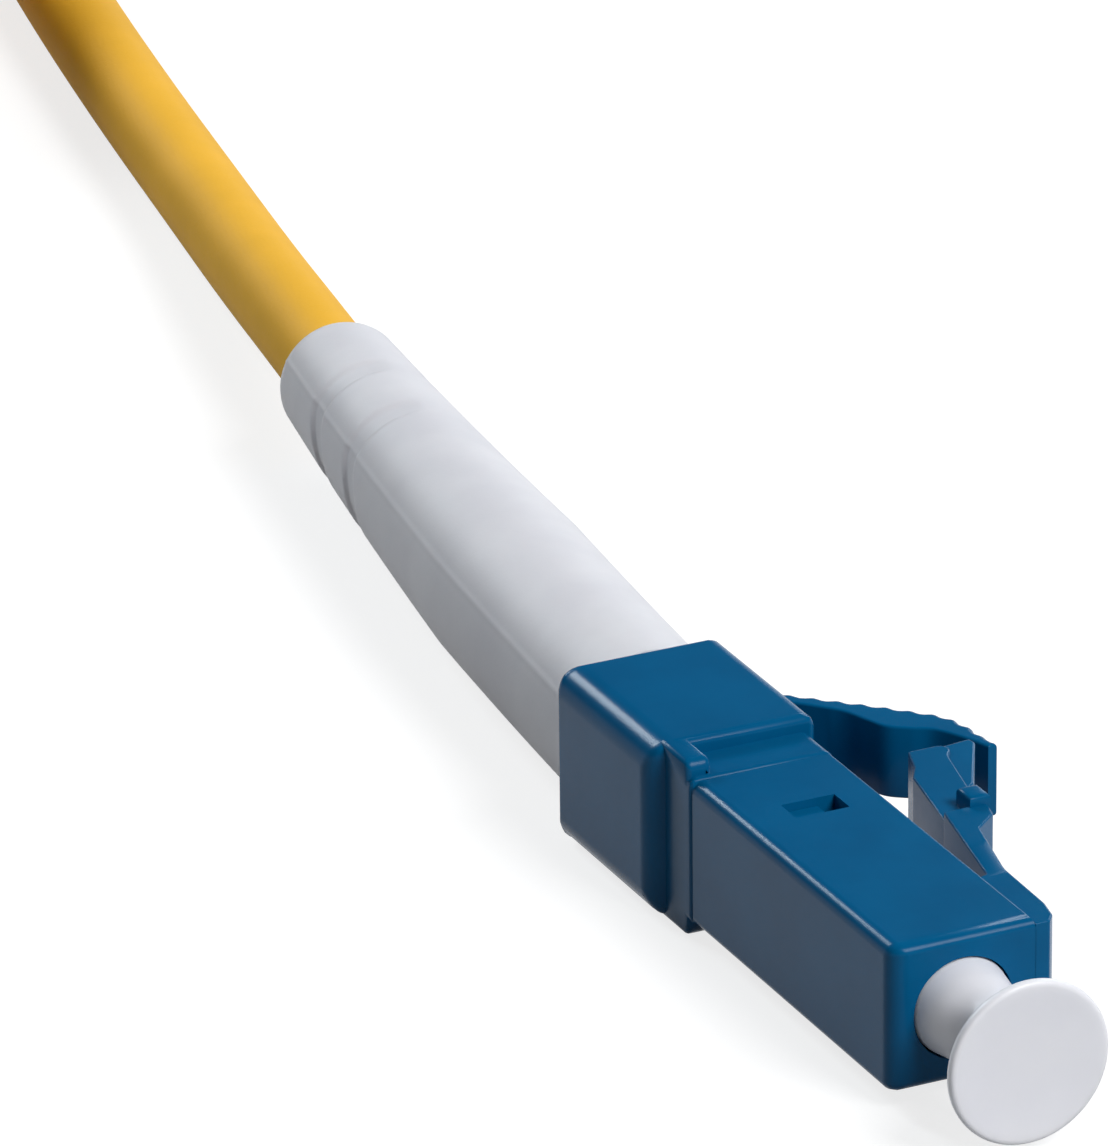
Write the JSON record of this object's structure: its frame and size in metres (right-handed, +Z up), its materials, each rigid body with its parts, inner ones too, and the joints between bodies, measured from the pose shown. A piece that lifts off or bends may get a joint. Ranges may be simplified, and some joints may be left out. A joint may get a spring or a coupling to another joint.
{
  "type": "lc fibre connector",
  "caption": "Small-form fibre plug with a sprung ceramic ferrule, side latch, anti-snag trigger, bent boot, dust cap and a yellow cable folded into a tied hank.",
  "frame": {"origin": "on the surface that the connector rests on, under the middle of the connector from the cap's face to the boot's rear end", "axes": "+X along the plug towards its nose, +Y towards the latch side, +Z up, normal to the upper flank"},
  "size_m": [0.1645, 0.0278, 0.0128],
  "materials": {
    "blue_housing": "moulded, satin",
    "white_boot": "soft moulded elastomer",
    "white_cap": "moulded, satin",
    "yellow_jacket": "extruded, matte",
    "zirconia": "polished ceramic",
    "nickel_brass": "turned, nickel plated",
    "spring_steel": "drawn wire",
    "clear_tube": "translucent fluoropolymer",
    "buffer_coat": "smooth extruded",
    "aramid": "loose yarn",
    "silica": "clear",
    "tie_band": "woven hook and loop band"
  },
  "bodies": {
    "connector": {"front_housing": "blue_housing", "rear_housing": "blue_housing", "stop_body": "blue_housing", "spring": "spring_steel", "crimp_post": "nickel_brass", "aramid_yarn": "aramid", "crimp_sleeve": "nickel_brass", "boot": "white_boot", "cable_jacket": "yellow_jacket", "cable_yarn": "aramid", "cable_buffer": "buffer_coat", "cable_tube": "yellow_jacket", "cable_hank": "yellow_jacket", "hank_tie_1": "tie_band", "hank_tie_2": "tie_band", "end_yarn": "aramid", "end_buffer": "buffer_coat"},
    "latch": {"latch_arm": "blue_housing"},
    "trigger": {"trigger": "blue_housing"},
    "ferrule_group": {"ferrule": "zirconia", "fibre_stub": "silica", "ferrule_flange": "nickel_brass", "tight_buffer": "buffer_coat", "guide_tube": "clear_tube"},
    "cap": {"dust_cap": "white_cap"}
  },
  "joints": [
    {"name": "trigger_press", "type": "hinge", "parent": "connector", "child": "trigger", "pos_m": [0.0037, 0.00043, 0.0028], "axis": [0, 0, -1], "range_deg": [0, 21.5], "stiffness_Nm_per_rad": 0.05},
    {"name": "latch_flex", "type": "hinge", "parent": "connector", "child": "latch", "pos_m": [0.01937, 0.00011, 0.0028], "axis": [0, 0, 1], "range_deg": [0, 12]},
    {"name": "ferrule_float", "type": "slide", "parent": "connector", "child": "ferrule_group", "axis": [-1, 0, 0], "range_m": [0, 0.0008], "stiffness_N_per_m": 1200, "springref_m": -0.001, "deforming": ["spring"]},
    {"name": "cap_pull", "type": "slide", "parent": "connector", "child": "cap", "axis": [1, 0, 0], "range_m": [0, 0.012]}
  ],
  "couplings": [
    {"joint": "latch_flex", "follows": "trigger_press", "ratio": 0.55814}
  ]
}
